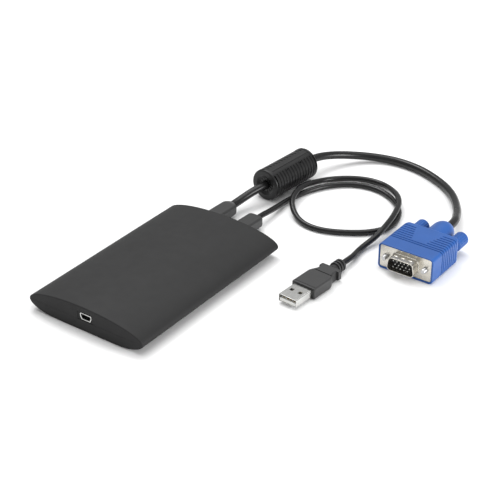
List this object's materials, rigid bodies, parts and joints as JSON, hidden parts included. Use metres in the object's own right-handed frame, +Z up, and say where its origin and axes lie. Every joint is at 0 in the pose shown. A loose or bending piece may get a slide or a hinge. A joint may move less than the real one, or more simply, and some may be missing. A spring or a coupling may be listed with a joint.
{
  "type": "crash cart adapter",
  "caption": "Flat rounded case with a small data port in front, and a video cord with a clip-on ferrite and a thin data cord with its plug behind.",
  "frame": {"origin": "middle of the flat underside of the case, on the surface it stands on", "axes": "+Z up, +Y from the data port in front to the rear end where the cords leave, +X to the right seen from the port's end"},
  "size_m": [0.1632, 0.2608, 0.0198],
  "materials": {
    "case_plastic": "fine sand texture",
    "grey_plastic": "satin",
    "cord_jacket": "satin",
    "ferrite_plastic": "satin",
    "core": "sintered",
    "blue_plastic": "satin",
    "nickel": "satin",
    "bright_metal": "polished",
    "screw_steel": "zinc plated",
    "gold": "plated",
    "board": "solder mask",
    "chip": "moulded",
    "black_plastic": "moulded",
    "white_plastic": "moulded"
  },
  "bodies": {
    "case": {"bottom_shell": "case_plastic", "top_shell": "case_plastic", "case_screws": "screw_steel", "circuit_board": "board", "board_screws": "screw_steel", "video_chip": "chip", "processor_chip": "chip", "memory_chip": "chip", "data_chip": "chip", "keyboard_chip": "chip", "firmware_chip": "chip", "regulators": "chip", "crystals": "bright_metal", "capacitors": "bright_metal", "power_coil": "core", "port_sleeve": "bright_metal", "port_tongue": "black_plastic", "port_contacts": "gold", "video_header": "white_plastic", "data_header": "white_plastic", "video_wire_plug": "white_plastic", "data_wire_plug": "white_plastic", "video_inner_lead": "cord_jacket", "data_inner_lead": "cord_jacket", "video_gland": "grey_plastic", "data_gland": "grey_plastic", "video_cord": "cord_jacket", "data_cord": "cord_jacket", "ferrite_lower_case": "ferrite_plastic", "ferrite_lower_core": "core", "video_hood": "blue_plastic", "video_face_plate": "nickel", "video_insulator": "black_plastic", "video_pins": "gold", "video_inner_mould": "black_plastic", "data_grip": "grey_plastic", "data_sleeve": "bright_metal", "data_tongue": "white_plastic", "data_contacts": "gold", "data_inner_mould": "black_plastic"},
    "ferrite_lid": {"ferrite_upper_case": "ferrite_plastic", "ferrite_upper_core": "core"},
    "left_screw": {"left_thumbscrew": "nickel", "left_knob": "blue_plastic"},
    "right_screw": {"right_thumbscrew": "nickel", "right_knob": "blue_plastic"}
  },
  "joints": [
    {"name": "ferrite_lid_hinge", "type": "hinge", "parent": "case", "child": "ferrite_lid", "pos_m": [-0.01606, 0.13195, 0.0099], "axis": [-0.0837, -0.9965, 0], "range_deg": [0, 120]},
    {"name": "left_screw_turn", "type": "hinge", "parent": "case", "child": "left_screw", "pos_m": [0.0946, 0.1144, 0.0082], "axis": [0, 1, 0], "continuous": true},
    {"name": "right_screw_turn", "type": "hinge", "parent": "case", "child": "right_screw", "pos_m": [0.1196, 0.1144, 0.0082], "axis": [0, 1, 0], "continuous": true}
  ]
}
